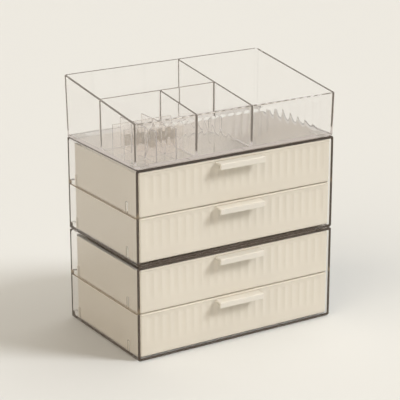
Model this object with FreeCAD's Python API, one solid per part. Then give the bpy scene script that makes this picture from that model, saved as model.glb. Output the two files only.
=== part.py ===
"""Stacking organiser: two clear cases with two fluted drawers each, and a clear divided tray on top.

Millimetres. +X is right, +Z is up and the drawers open towards -Y. The origin is the middle of the
whole outline with the drawers shut, handles included, on the surface that the organiser stands on.
"""
import FreeCAD, Part
import math
import os

V = FreeCAD.Vector
X_AXIS = V(1, 0, 0)
Y_AXIS = V(0, 1, 0)
Z_AXIS = V(0, 0, 1)
SAME_PLACE = 1e-3             # two places closer than this are one
OVERCUT = 1.0                 # how far a cutter passes the face that it opens
SEAM_TURN = 90                # degrees, keeps a cone's seam out of what it cuts

# ------------------------------------------------------------------ driving dimensions: cases
CASE_WIDTH = 240.0            # outside, left to right
CASE_DEPTH = 146.0            # outside, front to back
CASE_HEIGHT = 101.4           # outside, one case
CASE_WALL = 3.0
CASE_EDGE_RADIUS = 3.0        # outer edges that run front to back, and those round the back wall
CASE_INNER_RADIUS = 1.2       # inner edges that run front to back
CASE_LIP_CHAMFER = 0.6        # both edges of the open front
CASE_NAMES = ("lower", "upper")

# stacking pads, one under each corner of the cases and of the tray
PAD_SIDE = 10.0               # square pads
PAD_PROUD = 1.0               # how far a pad stands out below its recess
PAD_SEAT_DEPTH = 0.8          # recess that holds the pad
PAD_SEAT_CLEARANCE = 0.1      # round the pad in its recess
PAD_DISH_CLEARANCE = 1.0      # round the pad in the dish of the case below
PAD_INSET = 13.0              # pad centre to the outside of the case
STACK_GAP = 0.3               # between two stacked pieces

# ------------------------------------------------------------------ driving dimensions: drawers
DRAWERS_PER_CASE = 2
FRONT_RECESS = 0.6            # top bead of a drawer front behind the case's front edge
FRONT_SIDE_GAP = 1.0
FRONT_FLOOR_GAP = 0.6
FRONT_BETWEEN_GAP = 0.7
FRONT_TOP_GAP = 0.5
FRONT_THICKNESS = 3.6
FRONT_CORNER_RADIUS = 2.0     # corners of the front, seen from the front
FRONT_EDGE_RADIUS = 1.6       # round the front face
BEAD_HEIGHT = 2.2             # rounded bead along the top
BEAD_PROUD = 0.6
BEAD_EDGE_RADIUS = 0.5

BOX_WALL = 2.0
BOX_FLOOR = 1.8
BOX_SIDE_GAP = 1.6            # box side to case wall
BOX_REAR_GAP = 6.0            # box back to case back wall
BOX_TOP_DROP = 1.3            # box rim below the top of the drawer front
BOX_CORNER_RADIUS = 5.0
BOX_FLOOR_RADIUS = 2.5        # inside, where the walls meet the floor

RUNNER_WIDTH = 5.0
RUNNER_THICKNESS = 1.5
RUNNER_SETBACK = 1.0          # behind the drawer front
CLOSING_STOP_HEIGHT = 4.0
DRAWER_TRAVEL = 105.0
STOP_PROUD = 1.2              # stop rib on the case wall and stop tab on the box side
STOP_LENGTH = 2.5
STOP_HEIGHT = 12.0

# ------------------------------------------------------------------ driving dimensions: flutes
FLUTE_PITCH = 9.5
FLUTE_DEPTH = 0.8
FLUTE_LAND = 0.5              # crest left between two flutes
FLUTE_END_MARGIN = 6.5        # plain strip at each end of a fluted face, at least
FLUTE_TIP = 3.0               # below the tray's rim: where a flute starts; a drawer's bead covers it
FLUTE_RISE = 4.5              # length over which it reaches full width and depth
FLUTE_STRAIGHT = 16.5         # length at full depth
FLUTE_RUNOUT = 14.0           # length over which it fades out again at its foot

# ------------------------------------------------------------------ driving dimensions: handles
HANDLE_WIDTH = 54.0
HANDLE_REACH = 10.6           # out from the fluted face
HANDLE_TOP_DROP = 2.3         # below the top of the drawer front
HANDLE_PLATE = 2.0
HANDLE_LIP_HEIGHT = 6.6
HANDLE_LIP_THICKNESS = 2.2
HANDLE_OUTER_RADIUS = 1.4
HANDLE_INNER_RADIUS = 1.0
HANDLE_EDGE_RADIUS = 0.7
TONGUE_WIDTH = 12.0
TONGUE_THICKNESS = 1.6
TONGUE_SPACING = 32.0         # between the middles of the two tongues
TONGUE_CLEARANCE = 0.15       # all round a tongue in its slots
HOOK_LENGTH = 1.6
HOOK_DROP = 0.8

# ------------------------------------------------------------------ driving dimensions: tray
TRAY_FRONT_HEIGHT = 46.1
TRAY_BACK_HEIGHT = 66.1
TRAY_WALL = 3.0
TRAY_FLOOR = 3.0
TRAY_DRAFT = 1.0              # degrees, every outer wall leans out
TRAY_CORNER_RADIUS = 4.0
TRAY_BOTTOM_RADIUS = 1.2
DIVIDER_THICKNESS = 2.4
MAIN_DIVIDER_FROM_LEFT = 137.2
CROSS_DIVIDER_FROM_FRONT = 72.2
SMALL_DIVIDER_FROM_LEFT = 70.9

GRID_CELLS = 3                # lipstick cells each way
GRID_PLATE = 1.6
GRID_HEIGHT = 32.0
GRID_CLEARANCE = 0.4          # round the grid in its bay
GRID_SLOT_CLEARANCE = 0.2     # each side of a half-lap

# ------------------------------------------------------------------ derived places
LEFT = -CASE_WIDTH / 2
RIGHT = CASE_WIDTH / 2
TRAY_FLARE = math.tan(math.radians(TRAY_DRAFT))
HANDLE_OUT = HANDLE_REACH - BEAD_PROUD - FRONT_RECESS
TRAY_SPREAD = TRAY_BACK_HEIGHT * TRAY_FLARE
FRONT = -(CASE_DEPTH + TRAY_SPREAD - HANDLE_OUT) / 2
BACK = FRONT + CASE_DEPTH
STACK_PITCH = CASE_HEIGHT + STACK_GAP
CASE_BASES = [PAD_PROUD + i * STACK_PITCH for i in range(len(CASE_NAMES))]
TRAY_BASE = PAD_PROUD + len(CASE_NAMES) * STACK_PITCH
CASE_INNER_HALF = CASE_WIDTH / 2 - CASE_WALL

FRONT_HEIGHT = (CASE_HEIGHT - 2 * CASE_WALL - FRONT_FLOOR_GAP - FRONT_TOP_GAP
                - (DRAWERS_PER_CASE - 1) * FRONT_BETWEEN_GAP) / DRAWERS_PER_CASE
FRONT_HALF = CASE_INNER_HALF - FRONT_SIDE_GAP
BEAD_FACE = FRONT + FRONT_RECESS
FLUTED_FACE = BEAD_FACE + BEAD_PROUD
FRONT_BACK_FACE = BEAD_FACE + FRONT_THICKNESS
BOX_HALF = CASE_INNER_HALF - BOX_SIDE_GAP
BOX_REAR = BACK - CASE_WALL - BOX_REAR_GAP
BOX_HEIGHT = FRONT_HEIGHT - BOX_TOP_DROP
TAB_FRONT = BOX_REAR - BOX_CORNER_RADIUS - STOP_LENGTH


# ------------------------------------------------------------------ helpers
def box(x0, x1, y0, y1, z0, z1):
    """A box between two corners."""
    return Part.makeBox(x1 - x0, y1 - y0, z1 - z0, V(x0, y0, z0))


def edges_along(shape, axis):
    """Straight edges parallel to an axis."""
    found = []
    for edge in shape.Edges:
        if isinstance(edge.Curve, (Part.Line, Part.LineSegment)):
            if edge.tangentAt(edge.FirstParameter).cross(axis).Length < SAME_PLACE:
                found.append(edge)
    return found


def edges_in_plane(shape, axis, place):
    """Edges that lie wholly in the plane at a place along an axis."""
    limits = {"x": ("XMin", "XMax"), "y": ("YMin", "YMax"), "z": ("ZMin", "ZMax")}[axis]
    return [edge for edge in shape.Edges
            if all(abs(getattr(edge.BoundBox, limit) - place) < SAME_PLACE for limit in limits)]


def edges_at(shape, along, axis, place):
    """Straight edges parallel to one axis that lie in the plane at a place along another."""
    inside = edges_in_plane(shape, axis, place)
    return [edge for edge in edges_along(shape, along) if any(edge.isSame(other) for other in inside)]


def rounded_in_turn(block, groups):
    """A block with groups of edges rounded by themselves, so that the rounds simply meet at its corners."""
    shape = block
    for radius, edges in groups:
        shape = shape.common(block.makeFillet(radius, edges))
    return shape


def extruded_x(points, x0, x1):
    """A prism along X whose outline is a list of (y, z) points."""
    wire = Part.makePolygon([V(x0, y, z) for y, z in points + points[:1]])
    return Part.Face(wire).extrude(V(x1 - x0, 0, 0))


def frustum(low, high):
    """A block with flat sides between two level rectangles, each given as x0, x1, y0, y1, z."""
    under, over = [[V(x0, y0, z), V(x1, y0, z), V(x1, y1, z), V(x0, y1, z)]
                   for x0, x1, y0, y1, z in (low, high)]
    loops = [under[::-1], over]
    for here, after in ((0, 1), (1, 2), (2, 3), (3, 0)):
        loops.append([under[here], under[after], over[after], over[here]])
    faces = [Part.Face(Part.makePolygon(loop + loop[:1])) for loop in loops]
    return Part.makeSolid(Part.makeShell(faces))


# ------------------------------------------------------------------ flutes
def flute_end(length, half, radius):
    """The pointed end of a flute and the block of room in front of it, with the tip at the origin, upwards.

    The flute itself is a round bar. Its end is a cone that wraps the same ball as the bar, with its tip
    on the face, so the two meet in a flat mitre, and the outline on the face narrows to a point.
    """
    to_ball = half / math.sin(math.atan(half / length))
    above = radius - FLUTE_DEPTH
    lift = math.atan(above / to_ball)
    opening = math.asin(radius / math.hypot(above, to_ball))
    axis = V(0, -math.sin(lift), math.cos(lift))
    reach = 2 * to_ball + radius
    cone = Part.makeCone(0, reach * math.tan(opening), reach, V(0, 0, 0), axis)
    cone.rotate(V(0, 0, 0), axis, SEAM_TURN)
    slope = (FLUTE_DEPTH / math.tan(opening - lift) - length) / FLUTE_DEPTH
    y0 = -2 * radius
    y1 = FLUTE_DEPTH + OVERCUT
    room = extruded_x([(y0, length + slope * y0), (y1, length + slope * y1), (y1, y0), (y0, y0)], y0, -y0)
    return cone.common(room), room


def flute_cutter(open_top):
    """One flute's cutter: a round bar sunk into the face and brought to a point at its foot.

    The face is the plane y = 0 with its upper edge at z = 0. The top is pointed too, or runs out of
    the upper edge.
    """
    half = (FLUTE_PITCH - FLUTE_LAND) / 2
    radius = (half ** 2 + FLUTE_DEPTH ** 2) / (2 * FLUTE_DEPTH)
    tip = FLUTE_TIP + FLUTE_RISE + FLUTE_STRAIGHT + FLUTE_RUNOUT
    cutter = Part.makeCylinder(radius, tip + OVERCUT, V(0, FLUTE_DEPTH - radius, -tip))
    ends = []
    for length, place, way in ((FLUTE_RUNOUT, -tip, 1), (FLUTE_RISE, -FLUTE_TIP, -1)):
        if way > 0 or not open_top:
            end, room = flute_end(length, half, radius)
            for piece in (end, room):
                if way < 0:
                    piece.rotate(V(0, 0, 0), Y_AXIS, 180)
                piece.translate(V(0, 0, place))
            cutter = cutter.cut(room)
            ends.append(end)
    return cutter.fuse(ends)


def cut_flutes(shape, half_width, face_y, top_z, lean, open_top):
    """Cut a centred row of flutes into a front face that leans out by some degrees."""
    count = int((2 * (half_width - FLUTE_END_MARGIN) + SAME_PLACE) // FLUTE_PITCH)
    cutter = flute_cutter(open_top)
    cutter.rotate(V(0, 0, 0), X_AXIS, lean)
    cutters = []
    for i in range(count):
        copy = cutter.copy()
        copy.translate(V((i - (count - 1) / 2) * FLUTE_PITCH, face_y, top_z))
        cutters.append(copy)
    return shape.cut(cutters)


# ------------------------------------------------------------------ cases and pads
def pad_places():
    """Centres of the four pads."""
    return [(x, y) for x in (LEFT + PAD_INSET, RIGHT - PAD_INSET)
            for y in (FRONT + PAD_INSET, BACK - PAD_INSET)]


def pad_blocks(z0, z1, clearance):
    """Square blocks at the pads' places, from one height to another, wider than the pads by a clearance."""
    half = PAD_SIDE / 2 + clearance
    return [box(x - half, x + half, y - half, y + half, z0, z1) for x, y in pad_places()]


def pads(base):
    """Four silicone pads, held in recesses under the piece whose underside is at base."""
    return Part.makeCompound(pad_blocks(base - PAD_PROUD, base + PAD_SEAT_DEPTH, 0.0))


def drawer_base(case_base, level):
    """Underside of a drawer."""
    return case_base + CASE_WALL + FRONT_FLOOR_GAP + level * (FRONT_HEIGHT + FRONT_BETWEEN_GAP)


def runner(base, level, side):
    """A runner on one side wall with its closing stop at the back, and the opening stop rib."""
    top = drawer_base(base, level)
    wall = side * (CASE_INNER_HALF + CASE_WALL / 2)
    inner = side * (CASE_INNER_HALF - RUNNER_WIDTH)
    bottom = base + CASE_WALL / 2 if level == 0 else top - RUNNER_THICKNESS
    back = BACK - CASE_WALL / 2
    x0, x1 = sorted((wall, inner))
    rail = box(x0, x1, FRONT_BACK_FACE + RUNNER_SETBACK, back, bottom, top)
    stop = box(x0, x1, BOX_REAR, back, top, top + CLOSING_STOP_HEIGHT)
    x0, x1 = sorted((wall, side * (CASE_INNER_HALF - STOP_PROUD)))
    rib_back = TAB_FRONT - DRAWER_TRAVEL
    rib = box(x0, x1, rib_back - STOP_LENGTH, rib_back, top, top + STOP_HEIGHT)
    return [rail, stop, rib]


def case(base):
    """A clear moulded case: five rounded walls, open front, drawer runners, stacking dishes."""
    top = base + CASE_HEIGHT
    outer = box(LEFT, RIGHT, FRONT, BACK, base, top)
    outer = rounded_in_turn(outer, [(CASE_EDGE_RADIUS, edges_along(outer, Y_AXIS)),
                                    (CASE_EDGE_RADIUS, edges_at(outer, X_AXIS, "y", BACK)),
                                    (CASE_EDGE_RADIUS, edges_at(outer, Z_AXIS, "y", BACK))])
    inner = box(LEFT + CASE_WALL, RIGHT - CASE_WALL, FRONT - OVERCUT, BACK - CASE_WALL,
                base + CASE_WALL, top - CASE_WALL)
    inner = inner.makeFillet(CASE_INNER_RADIUS, edges_along(inner, Y_AXIS))
    shell = outer.cut(inner)
    shell = shell.makeChamfer(CASE_LIP_CHAMFER, edges_in_plane(shell, "y", FRONT))
    ribs = []
    for level in range(DRAWERS_PER_CASE):
        for side in (-1, 1):
            ribs += runner(base, level, side)
    shell = shell.fuse(ribs)
    seats = pad_blocks(base, base + PAD_SEAT_DEPTH, PAD_SEAT_CLEARANCE)
    dishes = pad_blocks(top - (PAD_PROUD - STACK_GAP), top, PAD_DISH_CLEARANCE)
    return shell.cut(seats + dishes).removeSplitter()


# ------------------------------------------------------------------ drawers
def tongue_cut(base, depth_from, depth_to):
    """Slots for the two handle tongues, through whatever lies between two depths."""
    bottom = base + FRONT_HEIGHT - HANDLE_TOP_DROP - HANDLE_PLATE
    half = TONGUE_WIDTH / 2 + TONGUE_CLEARANCE
    return [box(x - half, x + half, depth_from, depth_to,
                bottom - TONGUE_CLEARANCE, bottom + TONGUE_THICKNESS + TONGUE_CLEARANCE)
            for x in (-TONGUE_SPACING / 2, TONGUE_SPACING / 2)]


def drawer_front(base):
    """A moulded front: flutes that fade towards the bottom, below a rounded bead."""
    top = base + FRONT_HEIGHT
    slab = box(-FRONT_HALF, FRONT_HALF, FLUTED_FACE, FRONT_BACK_FACE, base, top)
    slab = rounded_in_turn(slab, [(FRONT_CORNER_RADIUS, edges_along(slab, Y_AXIS)),
                                  (FRONT_EDGE_RADIUS, edges_at(slab, Z_AXIS, "y", FLUTED_FACE)),
                                  (FRONT_EDGE_RADIUS, edges_at(slab, X_AXIS, "y", FLUTED_FACE))])
    slab = cut_flutes(slab, FRONT_HALF, FLUTED_FACE, top, 0.0, True)
    bead = box(-FRONT_HALF, FRONT_HALF, BEAD_FACE, FRONT_BACK_FACE, top - BEAD_HEIGHT, top)
    bead = rounded_in_turn(bead, [(FRONT_CORNER_RADIUS, edges_at(bead, Y_AXIS, "z", top)),
                                  (BEAD_EDGE_RADIUS, edges_at(bead, Z_AXIS, "y", BEAD_FACE)),
                                  (BEAD_EDGE_RADIUS, edges_at(bead, X_AXIS, "y", BEAD_FACE))])
    return slab.fuse(bead).cut(tongue_cut(base, BEAD_FACE, FRONT_BACK_FACE + OVERCUT)).removeSplitter()


def drawer_box(base):
    """An open moulded box with a rounded back, a coved floor and a stop tab on each side."""
    front = FRONT_BACK_FACE
    rim = base + BOX_HEIGHT
    outer = box(-BOX_HALF, BOX_HALF, front, BOX_REAR, base, rim)
    outer = outer.makeFillet(BOX_CORNER_RADIUS, edges_at(outer, Z_AXIS, "y", BOX_REAR))
    floor = base + BOX_FLOOR
    inner = box(BOX_WALL - BOX_HALF, BOX_HALF - BOX_WALL, front + BOX_WALL, BOX_REAR - BOX_WALL,
                floor, rim + OVERCUT)
    inner = rounded_in_turn(inner, [(BOX_CORNER_RADIUS - BOX_WALL, edges_along(inner, Z_AXIS)),
                                    (BOX_FLOOR_RADIUS, edges_at(inner, X_AXIS, "z", floor)),
                                    (BOX_FLOOR_RADIUS, edges_at(inner, Y_AXIS, "z", floor))])
    tabs = []
    for side in (-1, 1):
        x0, x1 = sorted((side * (BOX_HALF - BOX_WALL / 2), side * (BOX_HALF + STOP_PROUD)))
        tabs.append(box(x0, x1, TAB_FRONT, TAB_FRONT + STOP_LENGTH, base, base + STOP_HEIGHT))
    shell = outer.cut(inner).fuse(tabs)
    return shell.cut(tongue_cut(base, front - OVERCUT, front + BOX_WALL + OVERCUT)).removeSplitter()


def drawer_handle(base):
    """An angled pull: a flat plate with a hanging lip, held by two hooked tongues."""
    top = base + FRONT_HEIGHT - HANDLE_TOP_DROP
    bottom = top - HANDLE_PLATE
    nose = FLUTED_FACE - HANDLE_REACH
    half = HANDLE_WIDTH / 2
    plate = box(-half, half, nose, FLUTED_FACE, bottom, top)
    lip = box(-half, half, nose, nose + HANDLE_LIP_THICKNESS, top - HANDLE_LIP_HEIGHT, top)
    handle = plate.fuse(lip).removeSplitter()
    outer = [edge for edge in edges_at(handle, X_AXIS, "y", nose) if edge.CenterOfMass.z > bottom]
    handle = handle.makeFillet(HANDLE_OUTER_RADIUS, outer)
    inner = [edge for edge in edges_at(handle, X_AXIS, "z", bottom)
             if edge.CenterOfMass.y < FLUTED_FACE - SAME_PLACE]
    handle = handle.makeFillet(HANDLE_INNER_RADIUS, inner)
    handle = handle.makeFillet(HANDLE_EDGE_RADIUS, edges_at(handle, X_AXIS, "z", top - HANDLE_LIP_HEIGHT))
    tongues = []
    held = FRONT_BACK_FACE + BOX_WALL
    tip = [(held + HOOK_LENGTH, bottom + HOOK_DROP), (held, bottom + HOOK_DROP), (held, bottom - HOOK_DROP)]
    for middle in (-TONGUE_SPACING / 2, TONGUE_SPACING / 2):
        x0 = middle - TONGUE_WIDTH / 2
        x1 = middle + TONGUE_WIDTH / 2
        tongues.append(box(x0, x1, FLUTED_FACE - HANDLE_PLATE, held + HOOK_LENGTH,
                           bottom, bottom + TONGUE_THICKNESS))
        tongues.append(extruded_x(tip, x0, x1))
    return handle.fuse(tongues).removeSplitter()


# ------------------------------------------------------------------ tray
def rim_height(y):
    """Height of the sloping rim above the tray's underside."""
    slope = (TRAY_BACK_HEIGHT - TRAY_FRONT_HEIGHT) / CASE_DEPTH
    return TRAY_FRONT_HEIGHT + slope * (y - FRONT)


def tray_block(inset, bottom):
    """The tray's drafted outline, inset by a wall, from a height up to above the rim."""
    rectangles = []
    for height in (bottom, TRAY_BACK_HEIGHT + CASE_WALL):
        spread = height * TRAY_FLARE - inset
        rectangles.append((LEFT - spread, RIGHT + spread, FRONT - spread, BACK + spread, TRAY_BASE + height))
    return frustum(*rectangles)


def above_rim():
    """Everything above the sloping rim."""
    y0 = FRONT - CASE_DEPTH
    y1 = BACK + CASE_DEPTH
    high = TRAY_BASE + rim_height(y1) + OVERCUT
    outline = [(y0, TRAY_BASE + rim_height(y0)), (y1, TRAY_BASE + rim_height(y1)), (y1, high), (y0, high)]
    return extruded_x(outline, LEFT - CASE_WIDTH, RIGHT + CASE_WIDTH)


def corner_edges(block):
    """The four upright edges of a drafted block, which lean in two ways."""
    return [edge for edge in block.Edges if edge.BoundBox.ZLength > SAME_PLACE]


def tray():
    """A clear moulded tray: drafted walls, sloping rim and a fluted front wall."""
    outer = tray_block(0.0, 0.0)
    outer = rounded_in_turn(outer, [(TRAY_CORNER_RADIUS, corner_edges(outer)),
                                    (TRAY_BOTTOM_RADIUS, edges_at(outer, X_AXIS, "z", TRAY_BASE)),
                                    (TRAY_BOTTOM_RADIUS, edges_at(outer, Y_AXIS, "z", TRAY_BASE))])
    inner = tray_block(TRAY_WALL, TRAY_FLOOR)
    inner = inner.makeFillet(TRAY_CORNER_RADIUS - TRAY_WALL, corner_edges(inner))
    shell = outer.cut(inner).cut(above_rim())
    shell = cut_flutes(shell, CASE_WIDTH / 2, FRONT - TRAY_FRONT_HEIGHT * TRAY_FLARE,
                       TRAY_BASE + TRAY_FRONT_HEIGHT, TRAY_DRAFT, False)
    return shell.cut(pad_blocks(TRAY_BASE, TRAY_BASE + PAD_SEAT_DEPTH, PAD_SEAT_CLEARANCE))


def divider(x0, x1, y0, y1):
    """A clear upright panel in the tray, cut to the drafted walls and to the sloping rim."""
    panel = box(x0, x1, y0, y1, TRAY_BASE + TRAY_FLOOR, TRAY_BASE + TRAY_BACK_HEIGHT)
    return panel.common(tray_block(TRAY_WALL, TRAY_FLOOR)).cut(above_rim())


def dividers():
    """The main divider from front to back, the cross divider on its left, and the small one before that."""
    half = DIVIDER_THICKNESS / 2
    main = LEFT + MAIN_DIVIDER_FROM_LEFT
    cross = FRONT + CROSS_DIVIDER_FROM_FRONT
    small = LEFT + SMALL_DIVIDER_FROM_LEFT
    front = FRONT - TRAY_SPREAD
    return {"main_divider": divider(main - half, main + half, front, BACK + TRAY_SPREAD),
            "cross_divider": divider(LEFT - TRAY_SPREAD, main - half, cross - half, cross + half),
            "small_divider": divider(small - half, small + half, front, cross - half)}


def bay():
    """Limits of the bay for the lipstick grid, at the tray's floor: x0, x1, y0, y1."""
    wall = TRAY_WALL - TRAY_FLOOR * TRAY_FLARE
    return (LEFT + wall, LEFT + SMALL_DIVIDER_FROM_LEFT - DIVIDER_THICKNESS / 2,
            FRONT + wall, FRONT + CROSS_DIVIDER_FROM_FRONT - DIVIDER_THICKNESS / 2)


def grid_places(low, high):
    """Middles of the plates that split a bay into equal cells."""
    cell = (high - low - (GRID_CELLS - 1) * GRID_PLATE) / GRID_CELLS
    return [low + (i + 1) * (cell + GRID_PLATE) - GRID_PLATE / 2 for i in range(GRID_CELLS - 1)]


def grid_plates():
    """Half-lapped plates of the lipstick grid: those that run back first, then those that cross."""
    x0, x1, y0, y1 = bay()
    floor = TRAY_BASE + TRAY_FLOOR
    top = floor + GRID_HEIGHT
    middle = (floor + top) / 2
    xs = grid_places(x0, x1)
    ys = grid_places(y0, y1)
    half = GRID_PLATE / 2
    slot = half + GRID_SLOT_CLEARANCE
    plates = []
    for x in xs:
        plate = box(x - half, x + half, y0 + GRID_CLEARANCE, y1 - GRID_CLEARANCE, floor, top)
        notches = [box(x - GRID_PLATE, x + GRID_PLATE, y - slot, y + slot, floor - OVERCUT, middle)
                   for y in ys]
        plates.append(plate.cut(notches))
    for y in ys:
        plate = box(x0 + GRID_CLEARANCE, x1 - GRID_CLEARANCE, y - half, y + half, floor, top)
        notches = [box(x - slot, x + slot, y - GRID_PLATE, y + GRID_PLATE, middle, top + OVERCUT)
                   for x in xs]
        plates.append(plate.cut(notches))
    return plates


# ------------------------------------------------------------------ the whole organiser
def build():
    """Every node by name."""
    nodes = {}
    number = 0
    for name, base in zip(CASE_NAMES, CASE_BASES):
        nodes[name + "_case"] = case(base)
        nodes[name + "_case_pads"] = pads(base)
        for level in range(DRAWERS_PER_CASE):
            number += 1
            place = drawer_base(base, level)
            nodes["drawer_%d_box" % number] = drawer_box(place)
            nodes["drawer_%d_front" % number] = drawer_front(place)
            nodes["drawer_%d_handle" % number] = drawer_handle(place)
    nodes["tray"] = tray()
    nodes["tray_pads"] = pads(TRAY_BASE)
    nodes.update(dividers())
    for number, plate in enumerate(grid_plates(), start=1):
        nodes["grid_plate_%d" % number] = plate
    return nodes


os.makedirs("parts", exist_ok=True)
for node, solid in build().items():
    solid.exportStep("parts/%s.step" % node)
    print(node, "solids", len(solid.Solids), "volume", round(solid.Volume), "valid", solid.isValid())
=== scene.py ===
"""The looks of the stacking organiser: clear acrylic cases and tray round cream drawers, in a pale studio.

Metres, in the part's own frame: +X right, -Y front, +Z up, the surface that it stands on at z = 0.
"""

import math

import bmesh
import bpy
import numpy as np
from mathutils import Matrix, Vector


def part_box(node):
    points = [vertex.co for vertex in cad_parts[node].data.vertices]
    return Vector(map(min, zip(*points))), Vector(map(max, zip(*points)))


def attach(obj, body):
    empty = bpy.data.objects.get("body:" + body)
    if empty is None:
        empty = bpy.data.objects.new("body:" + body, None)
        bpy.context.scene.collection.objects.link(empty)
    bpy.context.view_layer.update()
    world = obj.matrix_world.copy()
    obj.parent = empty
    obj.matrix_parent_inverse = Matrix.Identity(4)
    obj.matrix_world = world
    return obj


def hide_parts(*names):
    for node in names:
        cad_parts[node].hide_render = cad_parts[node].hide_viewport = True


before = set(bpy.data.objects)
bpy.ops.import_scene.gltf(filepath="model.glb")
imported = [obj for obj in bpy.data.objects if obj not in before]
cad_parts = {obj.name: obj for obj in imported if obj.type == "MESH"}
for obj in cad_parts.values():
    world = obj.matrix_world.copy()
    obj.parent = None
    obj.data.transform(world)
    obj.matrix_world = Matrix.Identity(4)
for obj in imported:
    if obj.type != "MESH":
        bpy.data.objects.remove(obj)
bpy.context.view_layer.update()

MM = 0.001
DRAWERS = (1, 2, 3, 4)
PLATES_TO_BACK = (1, 2)       # grid plates that run from front to back
PLATES_TO_SIDE = (3, 4)       # grid plates that run from left to right
PAD_NODES = ("lower_case_pads", "upper_case_pads", "tray_pads")
CASE_NODES = ("lower_case", "upper_case")
TRAY_NODES = ("tray", "main_divider", "cross_divider", "small_divider")

# meshes
ARC_STEPS = 6                 # facets in a quarter round
SHARP_ANGLE = math.radians(40)
BEVEL_SEGMENTS = 2
SAME_PLACE = 0.01 * MM
SAME_LEVEL = 0.001 * MM

# flutes, the same on the drawers and on the tray
FLUTE_PITCH = 9.5 * MM
FLUTE_COUNT = 23
FLUTE_DEPTH = 0.65 * MM
FLUTE_SAMPLES = 12            # points across one flute
CREST_SOFTNESS = 0.35         # share of a cosine in a flute's section, which softens its crests
FLUTE_RISE = (3.0 * MM, 7.0 * MM)     # below the upper edge: where the depth grows to its full value
FLUTE_FADE = (24.0 * MM, 37.0 * MM)   # below the upper edge: where it dies away

# drawer fronts
FRONT_END_RADIUS = 1.8 * MM
FRONT_END_STEPS = 8
FRONT_MARGIN_STEPS = 4        # from the last flute to the end round
FRONT_FOOT_RADIUS = 1.6 * MM
FRONT_FACE_STEPS = 55         # up the fluted face
BEAD_HEIGHT = 2.2 * MM
BEAD_PROUD = 0.6 * MM
BEAD_STEPS = 12
BEAD_DROP = 0.1 * MM          # top of the bead's arc, below the top of the front
BEAD_UNDERCUT = 0.4 * MM      # foot of the bead's slope, below the bead
CROWN_SETBACK = 1.5 * MM      # where the flat top starts, behind the bead's nose

# pulls
PULL_WIDTH = 54.0 * MM
PULL_PLATE = 2.0 * MM
PULL_LIP = 2.2 * MM
PULL_NOSE_RADIUS = 1.3 * MM
PULL_INNER_RADIUS = 1.0 * MM
PULL_FOOT_RADIUS = 0.8 * MM
PULL_END_RADIUS = 0.7 * MM
PULL_ROOT = 1.0 * MM          # how far the plate reaches into the front, past the flutes
HOOK_WIDTH = 12.0 * MM
HOOK_PLACES = (-16.0 * MM, 16.0 * MM)
HOOK_THICKNESS = 1.6 * MM
HOOK_LENGTH = 1.6 * MM
HOOK_DROP = 0.8 * MM

# tray
TRAY_WALL = 3.0 * MM
TRAY_FLOOR = 3.0 * MM
TRAY_FLARE = math.tan(math.radians(1.0))
TRAY_FRONT_HEIGHT = 46.1 * MM
TRAY_BACK_HEIGHT = 66.1 * MM
TRAY_CORNER_RADIUS = 4.0 * MM
TRAY_BOTTOM_RADIUS = 1.2 * MM
TRAY_RIM_RADIUS = 0.5 * MM
TRAY_MARGIN_STEPS = 3         # from the last flute to the corner round
TRAY_FLUTE_STEP = 0.75 * MM   # between the rows of points down the flutes
TRAY_FLUTE_ROWS = (1.5 * MM, FLUTE_FADE[1] + 0.3 * MM)   # below the rim: where those rows start and end
POCKET_CORNER_RADIUS = 1.0 * MM
POCKET_FLOOR_RADIUS = 0.5 * MM
SUPPORT = 0.2 * MM            # a ring this far into a flat face keeps its shading flat
PAD_INSET = 13.0 * MM         # pad centre to the outside
PAD_SEAT_HALF = 5.1 * MM
PAD_SEAT_DEPTH = 0.8 * MM

# lipstick grid
PLATE_EDGE_RADIUS = 0.2 * MM
PLATE_LIFT = 0.05 * MM        # off the tray's floor
LAP_HALF = 1.0 * MM           # half the width of a half-lap slot

# heights at which the colour of the painted glow in the acrylic's edges changes
ROOF_BAND = 2.8 * MM          # down from the top of the upper case
RUNNER_BAND = (-2.0 * MM, 0.4 * MM)   # round the underside of a drawer that slides on runners
TRAY_BASE_BAND = 4.1 * MM     # up from the underside of the tray
RUNNER_DRAWERS = (4, 2)       # upper drawer of each case, from the top down

# finishes
ABS_GRAIN = (0.4 * MM, 0.008 * MM)    # size and depth of the grain
PULL_GRAIN = (0.25 * MM, 0.005 * MM)
SILICONE_GRAIN = (0.3 * MM, 0.01 * MM)
MELT_FLOW = 40.0 * MM         # from one patch of the melt to the next
FLOW_SPAN = (0.3, 0.7)        # the noise's values that count as the least and the most
FLOW_TONE = 0.015             # share of brightness up or down
FLOW_SHEEN = 0.04             # roughness up or down
CROSSINGS = 9.5               # a ray that has met more surfaces than this goes straight on

# studio
FLOOR_SIZE = 12.0
LAMP_DISTANCE = 3.0
CAMERA_PLACE = (-0.86237, -1.36802, 0.66052)
CAMERA_DOWN = 18.017          # degrees
CAMERA_TURN = -32.139         # degrees
CAMERA_SENSOR = 36.0          # millimetres, as Blender takes them
CAMERA_LENS = 144.16          # millimetres, as Blender takes them
CAMERA_NEAR = 0.05


# ------------------------------------------------------------------ meshes from arrays
def skin(rings, first_cap=True, last_cap=True):
    """Closed rings of points as points and faces: quads between neighbouring rings, and flat caps."""
    rows, columns = rings.shape[:2]
    i = np.arange(rows - 1)[:, None] * columns
    j = np.arange(columns)[None, :]
    after = (j + 1) % columns
    quads = np.stack([i + j, i + after, i + columns + after, i + columns + j], axis=-1)
    faces = quads.reshape(-1, 4).tolist()
    if first_cap:
        faces.append(list(range(columns)))
    if last_cap:
        faces.append(list(range((rows - 1) * columns, rows * columns)))
    return rings.reshape(-1, 3), faces


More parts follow.
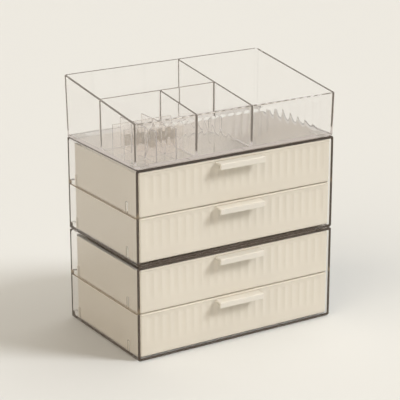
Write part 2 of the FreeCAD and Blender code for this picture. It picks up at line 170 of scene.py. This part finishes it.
def fill_flat(work):
    """Fill a mesh's open rings: those at its lowest level as one face with holes, the others as another."""
    rings = [edge for edge in work.edges if edge.is_boundary]
    lowest = min(vert.co.z for vert in work.verts)
    under = [edge for edge in rings if max(vert.co.z for vert in edge.verts) < lowest + SAME_LEVEL]
    over = [edge for edge in rings if edge not in set(under)]
    for ring in (under, over):
        bmesh.ops.triangle_fill(work, use_beauty=True, use_dissolve=False, edges=ring)


def joined(name, parts, material, body, fill=False, softened=0.0):
    """One mesh object of several lists of points and faces, its open rings filled flat if fill is set.

    All its faces are turned outwards. Corner normals are weighted by area, so that flat faces stay
    optically flat up to their rounds.
    """
    starts = np.cumsum([0] + [len(points) for points, _ in parts])
    points = np.concatenate([points for points, _ in parts])
    faces = [[i + start for i in face] for start, (_, faces) in zip(starts, parts) for face in faces]
    mesh = bpy.data.meshes.new(name)
    mesh.from_pydata(points.tolist(), [], faces)
    work = bmesh.new()
    work.from_mesh(mesh)
    if fill:
        fill_flat(work)
    bmesh.ops.recalc_face_normals(work, faces=work.faces)
    work.to_mesh(mesh)
    work.free()
    mesh.shade_smooth()
    mesh.set_sharp_from_angle(angle=SHARP_ANGLE)
    mesh.materials.append(material)
    made = bpy.data.objects.new(name, mesh)
    bpy.context.scene.collection.objects.link(made)
    if softened:
        bevel = made.modifiers.new("softened_edges", "BEVEL")
        bevel.width = softened
        bevel.segments = BEVEL_SEGMENTS
    flat = made.modifiers.new("flat_faces_stay_flat", "WEIGHTED_NORMAL")
    flat.keep_sharp = True
    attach(made, body)
    return made


def quarter(steps=ARC_STEPS):
    """Sine and cosine over a quarter turn."""
    turn = np.radians(np.linspace(0, 90, steps + 1))
    return np.sin(turn), np.cos(turn)


def arc(centre_a, centre_b, radius, start, end, steps=ARC_STEPS):
    """Points on a round from one angle to another, in degrees: centre plus radius times (cos, sin)."""
    angle = np.radians(np.linspace(start, end, steps + 1))
    return np.stack([centre_a + radius * np.cos(angle), centre_b + radius * np.sin(angle)], axis=1)


def end_stations(half, radius, steps=ARC_STEPS):
    """Places along X for the sections of a rounded end: half the length minus the radius times (1 - sine)."""
    sine, _ = quarter(steps)
    return half - radius * (1 - sine)


def end_round(x, half, radius):
    """How far a section draws in near its ends: the radius minus the height of a quarter circle at x."""
    t = np.clip(radius - (half - np.abs(x)), 0.0, radius)
    return radius - np.sqrt(radius ** 2 - t ** 2)


# ------------------------------------------------------------------ flutes
def smoothstep(low, high, value):
    """0 below low, 1 above high and the cubic 3t^2 - 2t^3 between."""
    t = np.clip((value - low) / (high - low), 0.0, 1.0)
    return t * t * (3 - 2 * t)


def flute_depth(x, below):
    """How far the flutes sink in at x, some way below the upper edge.

    Across one flute the depth is 1 - (2u)^2 with u from -1/2 to 1/2, mixed with a little of a cosine so
    that the crest isn't sharp. It grows just below the edge and dies away lower down by smooth steps.
    """
    u = x / FLUTE_PITCH - np.round(x / FLUTE_PITCH)
    scallop = (1 - CREST_SOFTNESS) * (1 - 4 * u * u) + CREST_SOFTNESS * (0.5 + 0.5 * np.cos(2 * np.pi * u))
    inside = np.abs(x) < FLUTE_COUNT * FLUTE_PITCH / 2
    fade = smoothstep(*FLUTE_RISE, below) * (1 - smoothstep(*FLUTE_FADE, below))
    return FLUTE_DEPTH * scallop * inside * fade


def flute_stations():
    """Places across the fluted stretch, with points on every crest and valley."""
    half = FLUTE_COUNT * FLUTE_PITCH / 2
    return np.linspace(-half, half, FLUTE_COUNT * FLUTE_SAMPLES + 1)


# ------------------------------------------------------------------ drawer fronts
def front_profile(face, bead, back, base, top):
    """The front's section as (y, z) points: from the back round the foot, up the face and over the bead.

    The bead is an arc. Its radius is half its height squared plus how far it stands proud squared, over
    twice how far it stands proud.
    """
    foot = arc(face + FRONT_FOOT_RADIUS, base + FRONT_FOOT_RADIUS, FRONT_FOOT_RADIUS, 270, 180)
    lowest, highest = base + FRONT_FOOT_RADIUS, top - BEAD_HEIGHT - BEAD_UNDERCUT
    heights = np.linspace(lowest, highest, FRONT_FACE_STEPS + 1)[1:]
    flat = np.stack([np.full_like(heights, face), heights], axis=1)
    proud = face - bead
    half = BEAD_HEIGHT / 2
    radius = (half ** 2 + proud ** 2) / (2 * proud)
    spread = math.degrees(math.asin(half / radius))
    nose = arc(bead + radius, top - half - BEAD_DROP, radius, 180 + spread, 180 - spread, BEAD_STEPS)
    crown = np.array([[bead + CROWN_SETBACK, top], [back, top]])
    heel = np.array([[back, base]])
    return np.concatenate([heel, foot, flat, nose, crown])


def drawer_front(number, material):
    """A drawer's moulded front: its section carried along X, sunk by the flutes and drawn in at the ends.

    Near an end the section's front moves back, its top down and its bottom up, each by the radius minus
    the height of a quarter circle, and by less the further a point is from that edge.
    """
    low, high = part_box("drawer_%d_front" % number)
    half = high.x
    face = low.y + BEAD_PROUD
    profile = front_profile(face, low.y, high.y, low.z, high.z)
    flutes = flute_stations()
    margin = np.linspace(flutes[-1], half - FRONT_END_RADIUS, FRONT_MARGIN_STEPS + 1)[1:-1]
    right = np.concatenate([margin, end_stations(half, FRONT_END_RADIUS, FRONT_END_STEPS)])
    x = np.concatenate([-right[::-1], flutes, right])[:, None]
    y = profile[None, :, 0]
    z = profile[None, :, 1]
    inward = end_round(x, half, FRONT_END_RADIUS)
    to_back = np.clip((high.y - y) / (high.y - low.y), 0, 1)
    to_middle = np.clip((0.5 - (z - low.z) / (high.z - low.z)) * 2, -1, 1)
    on_face = (np.abs(y - face) < SAME_PLACE) & (z > low.z + FRONT_FOOT_RADIUS)
    y = y + inward * to_back + flute_depth(x, high.z - z) * on_face
    z = z + inward * to_middle
    rings = np.stack(np.broadcast_arrays(x, y, z), axis=-1)
    made = joined("front_%d" % number, [skin(rings)], material, "drawer_%d" % number)
    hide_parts("drawer_%d_front" % number)


# ------------------------------------------------------------------ pulls
def round_with_normals(centre_y, centre_z, radius, start, end, outward=1.0):
    """A round as rows of y, z and the normal; outward is -1 for an inner corner, whose normal turns in."""
    normal = arc(0.0, 0.0, 1.0, start, end)
    return np.concatenate([np.array([[centre_y, centre_z]]) + radius * normal, outward * normal], axis=1)


def pull_profile(face, nose, top, bottom):
    """The pull's section, plate and hanging lip, as rows of y, z and the normal."""
    under = top - PULL_PLATE
    root = face + PULL_ROOT
    back = nose + PULL_LIP
    foot = bottom + PULL_FOOT_RADIUS
    inner = PULL_INNER_RADIUS
    return np.concatenate([
        np.array([[root, under, 0, -1]]),
        round_with_normals(back + inner, under - inner, inner, 90, 180, -1.0),
        round_with_normals(back - PULL_FOOT_RADIUS, foot, PULL_FOOT_RADIUS, 0, -90),
        round_with_normals(nose + PULL_FOOT_RADIUS, foot, PULL_FOOT_RADIUS, -90, -180),
        round_with_normals(nose + PULL_NOSE_RADIUS, top - PULL_NOSE_RADIUS, PULL_NOSE_RADIUS, 180, 90),
        np.array([[root, top, 0, 1]])])


def carried(section, x, inset):
    """A section of y, z and normals carried along X, drawn in along its normals by an inset at each x."""
    y = section[None, :, 0] - inset[:, None] * section[None, :, 2]
    z = section[None, :, 1] - inset[:, None] * section[None, :, 3]
    return skin(np.stack(np.broadcast_arrays(x[:, None], y, z), axis=-1))


def drawer_pull(number, material):
    """A drawer's pull: its section carried along X with rounded ends, and two hooks behind the front."""
    low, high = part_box("drawer_%d_handle" % number)
    front_low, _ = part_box("drawer_%d_front" % number)
    half = PULL_WIDTH / 2
    face = front_low.y + BEAD_PROUD
    section = pull_profile(face, low.y, high.z, low.z)
    right = end_stations(half, PULL_END_RADIUS)
    x = np.concatenate([-right[::-1], right])
    parts = [carried(section, x, end_round(x, half, PULL_END_RADIUS))]
    under = high.z - PULL_PLATE
    start, held = face + PULL_ROOT / 2, high.y - HOOK_LENGTH
    hook = np.array([[start, under], [held, under], [held, under - HOOK_DROP], [high.y, under + HOOK_DROP],
                     [high.y, under + HOOK_THICKNESS], [start, under + HOOK_THICKNESS]])
    hook = np.concatenate([hook, np.zeros_like(hook)], axis=1)
    for place in HOOK_PLACES:
        ends = np.array([place - HOOK_WIDTH / 2, place + HOOK_WIDTH / 2])
        parts.append(carried(hook, ends, np.zeros(2)))
    made = joined("pull_%d" % number, parts, material, "drawer_%d" % number)
    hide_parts("drawer_%d_handle" % number)


# ------------------------------------------------------------------ tray
def rounded_columns(x0, x1, y0, y1, radius, leaning, front_x=()):
    """Columns round a rectangle with rounded corners, anticlockwise from the front left corner's end.

    Each is a centre, a normal out of the rectangle and the way in which it leans as it rises. A point is
    the centre plus the normal times (radius plus offset), plus the lean times the flare and the height.
    leaning says which of the left, right, front and back sides lean, as 1 or 0.
    """
    left, right, front, back = leaning
    centres = [np.stack([np.asarray(front_x), np.full(len(front_x), y0 + radius)], axis=1)]
    angles = [np.full(len(front_x), -90.0)]
    leans = [np.tile([0.0, -front], (len(front_x), 1))]
    corners = ((x1 - radius, y0 + radius, -90, right, -front), (x1 - radius, y1 - radius, 0, right, back),
               (x0 + radius, y1 - radius, 90, -left, back), (x0 + radius, y0 + radius, 180, -left, -front))
    for x, y, start, lean_x, lean_y in corners:
        centres.append(np.tile([x, y], (ARC_STEPS + 1, 1)))
        angles.append(np.linspace(start, start + 90, ARC_STEPS + 1))
        leans.append(np.tile([lean_x, lean_y], (ARC_STEPS + 1, 1)))
    turn = np.radians(np.concatenate(angles))
    return np.concatenate(centres), np.stack([np.cos(turn), np.sin(turn)], axis=1), np.concatenate(leans)


class Plan:
    """The tray's outer faces at its foot, its underside and its rim's slope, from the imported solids."""

    def __init__(self):
        low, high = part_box("lower_case")
        self.left, self.right, self.front, self.back = low.x, high.x, low.y, high.y
        self.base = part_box("tray")[0].z
        self.slope = (TRAY_BACK_HEIGHT - TRAY_FRONT_HEIGHT) / (self.back - self.front)

    def rim(self, y):
        """Height of the sloping rim above the tray's underside: a straight line in y."""
        return TRAY_FRONT_HEIGHT + self.slope * (y - self.front)


def wall_rings(plan, columns, radius, rim_rows, level_rows):
    """A wall's rings of points from the rim down, where each row is an offset outwards and a level.

    A rim row's level is a drop below the rim, and a level row's is a height above the underside. The
    height h of a point that follows the rim solves h = rim(y) - drop, where y itself leans with h.
    """
    centre, normal, lean = columns
    rings = []
    for follows_rim, rows in ((True, rim_rows), (False, level_rows)):
        for offset, level in rows:
            at = centre + normal * (radius + offset)
            height = np.full(len(at), level)
            if follows_rim:
                height = (plan.rim(at[:, 1]) - level) / (1 - plan.slope * lean[:, 1] * TRAY_FLARE)
            rings.append(np.column_stack([at + lean * TRAY_FLARE * height[:, None], plan.base + height]))
    return np.stack(rings)


def tray_outside(plan):
    """The tray's outer wall from the rim to its underside, with the flutes sunk into its front."""
    flutes = flute_stations()
    margin = np.linspace(flutes[-1], plan.right - TRAY_CORNER_RADIUS, TRAY_MARGIN_STEPS + 1)[1:-1]
    front_x = np.concatenate([-margin[::-1], flutes, margin])
    columns = rounded_columns(plan.left, plan.right, plan.front, plan.back, TRAY_CORNER_RADIUS, (1, 1, 1, 1),
                              front_x)
    sine, cosine = quarter()
    rim, foot = TRAY_RIM_RADIUS, TRAY_BOTTOM_RADIUS
    below = np.concatenate([[rim + SUPPORT], np.arange(*TRAY_FLUTE_ROWS, TRAY_FLUTE_STEP)])
    rim_rows = [(-rim - SUPPORT, 0.0), *zip(rim * sine - rim, rim - rim * cosine), *((0.0, b) for b in below)]
    level_rows = [(0.0, foot + SUPPORT), *zip(foot * cosine - foot, foot - foot * sine),
                  (-foot - SUPPORT, 0.0)]
    rings = wall_rings(plan, columns, TRAY_CORNER_RADIUS, rim_rows, level_rows)
    fluted = slice(len(rim_rows) - len(below), len(rim_rows))
    rings[fluted, :len(front_x), 1] += flute_depth(front_x[None, :], below[:, None])
    return rings


def pocket_walls(plan, x0, x1, y0, y1, leaning):
    """A pocket's wall from the rim down to the ring that bounds its floor."""
    columns = rounded_columns(x0, x1, y0, y1, POCKET_CORNER_RADIUS, leaning)
    sine, cosine = quarter()
    rim, cove = TRAY_RIM_RADIUS, POCKET_FLOOR_RADIUS
    rim_rows = [(rim + SUPPORT, 0.0), *zip(rim - rim * sine, rim - rim * cosine), (0.0, rim + SUPPORT)]
    level_rows = [(0.0, TRAY_FLOOR + cove + SUPPORT),
                  *zip(cove * cosine - cove, TRAY_FLOOR + cove - cove * sine), (-cove - SUPPORT, TRAY_FLOOR)]
    return wall_rings(plan, columns, POCKET_CORNER_RADIUS, rim_rows, level_rows)


def tray_pockets(plan):
    """The four bays: lipstick grid, middle, rear left and right."""
    main_low, main_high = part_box("main_divider")
    cross_low, cross_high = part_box("cross_divider")
    small_low, small_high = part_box("small_divider")
    left, right = plan.left + TRAY_WALL, plan.right - TRAY_WALL
    front, back = plan.front + TRAY_WALL, plan.back - TRAY_WALL
    return [pocket_walls(plan, left, small_low.x, front, cross_low.y, (1, 0, 1, 0)),
            pocket_walls(plan, small_high.x, main_low.x, front, cross_low.y, (0, 0, 1, 0)),
            pocket_walls(plan, left, main_low.x, cross_high.y, back, (1, 0, 0, 1)),
            pocket_walls(plan, main_high.x, right, front, back, (0, 1, 1, 1))]


def pad_seat(x, y, base):
    """A square recess in the underside, as two rings of corners."""
    corners = np.array([[-1, -1], [1, -1], [1, 1], [-1, 1]]) * PAD_SEAT_HALF + np.array([[x, y]])
    return np.stack([np.column_stack([corners, np.full(4, z)]) for z in (base, base + PAD_SEAT_DEPTH)])


def tray(material):
    """The tray and its dividers as one moulding: walls from arrays, and the flat faces between filled in."""
    plan = Plan()
    seats = [pad_seat(x, y, plan.base) for x in (plan.left + PAD_INSET, plan.right - PAD_INSET)
             for y in (plan.front + PAD_INSET, plan.back - PAD_INSET)]
    parts = [skin(tray_outside(plan), False, False)]
    parts += [skin(rings, False, True) for rings in tray_pockets(plan) + seats]
    made = joined("clear_tray", parts, material, "tray_unit", fill=True)
    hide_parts(*TRAY_NODES)
    return made


# ------------------------------------------------------------------ lipstick grid
def comb_outline(low, high, middle, laps, from_below):
    """A plate's outline as (along, z) points: a rectangle with a slot for each plate that it laps."""
    end = low[1] if from_below else high[1]
    slots = [point for lap in laps for point in ((lap - LAP_HALF, end), (lap - LAP_HALF, middle),
                                                 (lap + LAP_HALF, middle), (lap + LAP_HALF, end))]
    if from_below:
        return [(low[0], low[1]), *slots, (high[0], low[1]), (high[0], high[1]), (low[0], high[1])]
    return [(low[0], low[1]), (high[0], low[1]), (high[0], high[1]), *slots[::-1], (low[0], high[1])]


def grid_plate(number, material):
    """A half-lapped plate: its comb outline carried through its thickness, with softened edges."""
    low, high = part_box("grid_plate_%d" % number)
    to_back = number in PLATES_TO_BACK
    lapped = [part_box("grid_plate_%d" % other) for other in (PLATES_TO_SIDE if to_back else PLATES_TO_BACK)]
    along, across = (1, 0) if to_back else (0, 1)
    laps = sorted((a[along] + b[along]) / 2 for a, b in lapped)
    outline = np.array(comb_outline((low[along], low.z + PLATE_LIFT), (high[along], high.z),
                                    (low.z + high.z) / 2, laps, to_back))
    rings = np.zeros((2, len(outline), 3))
    rings[..., along] = outline[:, 0]
    rings[..., across] = [[low[across]], [high[across]]]
    rings[..., 2] = outline[:, 1]
    made = joined("lipstick_plate_%d" % number, [skin(rings)], material, "lipstick_grid",
                  softened=PLATE_EDGE_RADIUS)
    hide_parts("grid_plate_%d" % number)
    return made


# ------------------------------------------------------------------ materials
def colour(hex_code):
    """A hex sRGB colour as linear RGBA."""
    srgb = np.array([int(hex_code[i:i + 2], 16) for i in (1, 3, 5)]) / 255
    linear = np.where(srgb <= 0.04045, srgb / 12.92, ((srgb + 0.055) / 1.055) ** 2.4)
    return (*linear.tolist(), 1.0)


def add_node(tree, kind, inputs=(), **settings):
    """One node with its settings, and its inputs set to a value or linked from a socket."""
    node = tree.nodes.new(kind)
    for key, value in settings.items():
        setattr(node, key, value)
    for key, value in dict(inputs).items():
        if isinstance(value, bpy.types.NodeSocket):
            tree.links.new(value, node.inputs[key])
        else:
            node.inputs[key].default_value = value
    return node


def new_material(name):
    """An empty node material and its tree."""
    material = bpy.data.materials.new(name)
    material.use_nodes = True
    material.node_tree.nodes.clear()
    return material, material.node_tree


def pressed_grain(tree, grain):
    """A bump of the fine grain that an eroded mould leaves, from its size and its depth.

    The real grain is under 0.1 mm, too fine to show, so it is drawn a few times as coarse.
    """
    size, depth = grain
    place = add_node(tree, "ShaderNodeTexCoord")
    noise = add_node(tree, "ShaderNodeTexNoise",
                     {"Vector": place.outputs["Object"], "Scale": 1 / size, "Detail": 2.0, "Roughness": 0.6})
    return add_node(tree, "ShaderNodeBump", {"Height": noise.outputs[0], "Strength": 1.0, "Distance": depth})


def moulded_abs(name, hex_code, roughness, grain):
    """Satin injection-moulded ABS: the eroded grain of its mould gives a soft sheen with no sparkle.

    The melt's slow flow shifts the colour and the sheen a little from patch to patch.
    """
    material, tree = new_material(name)
    place = add_node(tree, "ShaderNodeTexCoord")
    flow = add_node(tree, "ShaderNodeTexNoise",
                    {"Vector": place.outputs["Object"], "Scale": 1 / MELT_FLOW, "Detail": 3.0,
                     "Roughness": 0.5})
    least, most = FLOW_SPAN
    value = add_node(tree, "ShaderNodeMapRange",
                     {"Value": flow.outputs[0], "From Min": least, "From Max": most,
                      "To Min": 1 - FLOW_TONE, "To Max": 1 + FLOW_TONE})
    sheen = add_node(tree, "ShaderNodeMapRange",
                     {"Value": flow.outputs[0], "From Min": least, "From Max": most,
                      "To Min": roughness - FLOW_SHEEN, "To Max": roughness + FLOW_SHEEN})
    tone = add_node(tree, "ShaderNodeHueSaturation",
                    {"Value": value.outputs["Result"], "Color": colour(hex_code)})
    shader = add_node(tree, "ShaderNodeBsdfPrincipled",
                      {"Base Color": tone.outputs[0], "Roughness": sheen.outputs["Result"], "IOR": 1.53,
                       "Normal": pressed_grain(tree, grain).outputs[0]})
    add_node(tree, "ShaderNodeOutputMaterial", {"Surface": shader.outputs[0]})
    return material


def wall_with_painted_glow(tree, path, face_hex, painted_glow_hex, turns):
    """Clear acrylic with a painted edge glow: a constant emission of the given colour where light has been
    mirrored inside it more than "turns" times.

    The real edges pipe such light, which Cycles would end in black; the painted glow stands in for it, dark
    for painted shade and pale for painted light.
    """
    mirrored = add_node(tree, "ShaderNodeMath", {0: path.outputs["Glossy Depth"], 1: turns},
                        operation="GREATER_THAN")
    glass = add_node(tree, "ShaderNodeBsdfPrincipled",
                     {"Base Color": colour(face_hex), "Roughness": 0.0, "IOR": 1.42,
                      "Transmission Weight": 1.0})
    # a constant emission: the painted glow that stands in for light piped through the edges
    edge = add_node(tree, "ShaderNodeEmission", {"Color": colour(painted_glow_hex)})
    return add_node(tree, "ShaderNodeMixShader",
                    {0: mirrored.outputs[0], 1: glass.outputs[0], 2: edge.outputs[0]})


def polished_acrylic(name, face_hex, smoke_hex, density, painted_glow_hex, turns, zones=()):
    """Clear acrylic from a polished mould: mirror-smooth, smoky where thick, with a painted glow at its
    edges.

    Each of the zones, from the top down, is a height with the colour of the painted edge glow and the turns
    of the faces under it.
    Light that has crossed many walls goes straight on, since Cycles would end it in black.
    """
    material, tree = new_material(name)
    path = add_node(tree, "ShaderNodeLightPath")
    place = add_node(tree, "ShaderNodeTexCoord")
    height = add_node(tree, "ShaderNodeSeparateXYZ", {0: place.outputs["Object"]})
    wall = wall_with_painted_glow(tree, path, face_hex, painted_glow_hex, turns)
    for top, zone_glow_hex, zone_turns in zones:
        under = add_node(tree, "ShaderNodeMath", {0: height.outputs["Z"], 1: top}, operation="LESS_THAN")
        lower = wall_with_painted_glow(tree, path, face_hex, zone_glow_hex, zone_turns)
        wall = add_node(tree, "ShaderNodeMixShader",
                        {0: under.outputs[0], 1: wall.outputs[0], 2: lower.outputs[0]})
    deep = add_node(tree, "ShaderNodeMath", {0: path.outputs["Ray Depth"], 1: CROSSINGS},
                    operation="GREATER_THAN")
    clear = add_node(tree, "ShaderNodeBsdfTransparent", {"Color": colour("#ffffff")})
    mix = add_node(tree, "ShaderNodeMixShader", {0: deep.outputs[0], 1: wall.outputs[0], 2: clear.outputs[0]})
    smoke = add_node(tree, "ShaderNodeVolumeAbsorption", {"Color": colour(smoke_hex), "Density": density})
    add_node(tree, "ShaderNodeOutputMaterial", {"Surface": mix.outputs[0], "Volume": smoke.outputs[0]})
    return material


def case_zones():
    """The cases' zones of painted edge glow from the top down: walls under the roof, and a band round each
    case's runners.
    """
    # dark brown painted glow: painted shade along the edges of the case walls
    walls = ("#5a4f45", 1.5)
    # paler brown painted glow: painted light in the gaps between the drawers at the runners
    runners = ("#8f7d64", 0.5)
    below, above = RUNNER_BAND
    zones = [(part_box("upper_case")[1].z - ROOF_BAND, *walls)]
    for drawer in RUNNER_DRAWERS:
        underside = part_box("drawer_%d_box" % drawer)[0].z
        zones += [(underside + above, *runners), (underside + below, *walls)]
    return zones


def silicone(name):
    """Translucent moulded silicone: milky, with a soft sheen."""
    material, tree = new_material(name)
    shader = add_node(tree, "ShaderNodeBsdfPrincipled",
                      {"Base Color": colour("#d9d5cd"), "Roughness": 0.5, "IOR": 1.41,
                       "Transmission Weight": 0.4, "Normal": pressed_grain(tree, SILICONE_GRAIN).outputs[0]})
    add_node(tree, "ShaderNodeOutputMaterial", {"Surface": shader.outputs[0]})
    return material


def matt_paper(name, hex_code):
    """Matt studio paper: even, with hardly a highlight."""
    material, tree = new_material(name)
    shader = add_node(tree, "ShaderNodeBsdfPrincipled",
                      {"Base Color": colour(hex_code), "Roughness": 0.9, "Specular IOR Level": 0.1})
    add_node(tree, "ShaderNodeOutputMaterial", {"Surface": shader.outputs[0]})
    return material


def dress(node, material):
    """Give a CAD node a material."""
    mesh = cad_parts[node].data
    mesh.materials.clear()
    mesh.materials.append(material)


# ------------------------------------------------------------------ studio
def lamp(name, across, height, angle, energy, hex_code):
    """A far lamp that shines at the origin: degrees from the front to the right, degrees up, degrees wide."""
    across, height = math.radians(across), math.radians(height)
    light = bpy.data.lights.new(name, "SUN")
    light.angle = math.radians(angle)
    light.energy = energy
    light.color = colour(hex_code)[:3]
    made = bpy.data.objects.new(name, light)
    made.location = (LAMP_DISTANCE * math.sin(across) * math.cos(height),
                     -LAMP_DISTANCE * math.cos(across) * math.cos(height), LAMP_DISTANCE * math.sin(height))
    made.rotation_euler = made.location.to_track_quat("Z", "Y").to_euler()
    # a lamp that shows in or through the acrylic would clip to white
    made.visible_transmission = False
    made.visible_glossy = False
    bpy.context.scene.collection.objects.link(made)


def sky():
    """A weak warm light from all round, which the camera and the acrylic see as a pale backdrop."""
    world = bpy.data.worlds.new("sky")
    world.use_nodes = True
    tree = world.node_tree
    tree.nodes.clear()
    light = add_node(tree, "ShaderNodeBackground", {"Color": colour("#fff0dc"), "Strength": 0.28})
    seen = add_node(tree, "ShaderNodeBackground", {"Color": colour("#ece8e2"), "Strength": 1.0})
    path = add_node(tree, "ShaderNodeLightPath")
    either = add_node(tree, "ShaderNodeMath",
                      {0: path.outputs["Is Camera Ray"], 1: path.outputs["Is Glossy Ray"]},
                      operation="MAXIMUM")
    shown = add_node(tree, "ShaderNodeMath", {0: either.outputs[0], 1: path.outputs["Is Transmission Ray"]},
                     operation="MAXIMUM")
    mix = add_node(tree, "ShaderNodeMixShader",
                   {0: shown.outputs[0], 1: light.outputs[0], 2: seen.outputs[0]})
    add_node(tree, "ShaderNodeOutputWorld", {"Surface": mix.outputs[0]})
    bpy.context.scene.world = world


def studio():
    """A pale floor, a key lamp from the front right, wide lamps from the right and left, and a pale sky."""
    bpy.ops.mesh.primitive_plane_add(size=FLOOR_SIZE)
    floor = bpy.context.object
    floor.name = "floor"
    floor.data.materials.append(matt_paper("studio_paper", "#d9dbdb"))
    lamp("key", 48, 37, 18, 2.1, "#ffffff")
    lamp("side", 105, 54, 70, 1.05, "#fffdf6")
    lamp("fill", -76, 36, 60, 1.5, "#fef0dc")
    sky()


def camera():
    """The viewing angle: from the front left, 18 degrees above the level, with a long lens."""
    lens = bpy.data.cameras.new("camera")
    lens.sensor_width = CAMERA_SENSOR
    lens.lens = CAMERA_LENS
    lens.clip_start = CAMERA_NEAR
    made = bpy.data.objects.new("camera", lens)
    made.location = CAMERA_PLACE
    made.rotation_euler = (math.radians(90 - CAMERA_DOWN), 0.0, math.radians(CAMERA_TURN))
    bpy.context.scene.collection.objects.link(made)
    bpy.context.scene.camera = made


# ------------------------------------------------------------------ the whole
cream = moulded_abs("satin_moulded_abs", "#dad4c8", 0.45, ABS_GRAIN)
pull_cream = moulded_abs("satin_pull_abs", "#dcd8cf", 0.4, PULL_GRAIN)
# each acrylic's fourth colour and its zones' colours are the painted glow of its edges: dark for painted
# shade, pale for painted light
case_acrylic = polished_acrylic("polished_case_acrylic", "#ffffff", "#b39877", 16.0, "#4a4038", 0.5,
                                case_zones())
tray_acrylic = polished_acrylic("polished_tray_acrylic", "#ffffff", "#b39877", 8.0, "#7c7369", 2.5,
                                [(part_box("tray")[0].z + TRAY_BASE_BAND, "#cfc7c0", 0.5)])
grid_acrylic = polished_acrylic("polished_grid_acrylic", "#faf8f7", "#c4b39b", 8.0, "#afa7a0", 1.5)
rubber = silicone("milky_silicone")

for number in DRAWERS:
    dress("drawer_%d_box" % number, cream)
    drawer_front(number, cream)
    drawer_pull(number, pull_cream)
for node in CASE_NODES:
    dress(node, case_acrylic)
clear_pieces = [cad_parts[node] for node in CASE_NODES] + [tray(tray_acrylic)]
clear_pieces += [grid_plate(number, grid_acrylic) for number in PLATES_TO_BACK + PLATES_TO_SIDE]
# the lamps shine through clear pieces, which cast no shadow of their own
for made in clear_pieces:
    made.visible_shadow = False
for node in PAD_NODES:
    dress(node, rubber)

studio()
camera()
bpy.context.scene.view_settings.view_transform = "Standard"
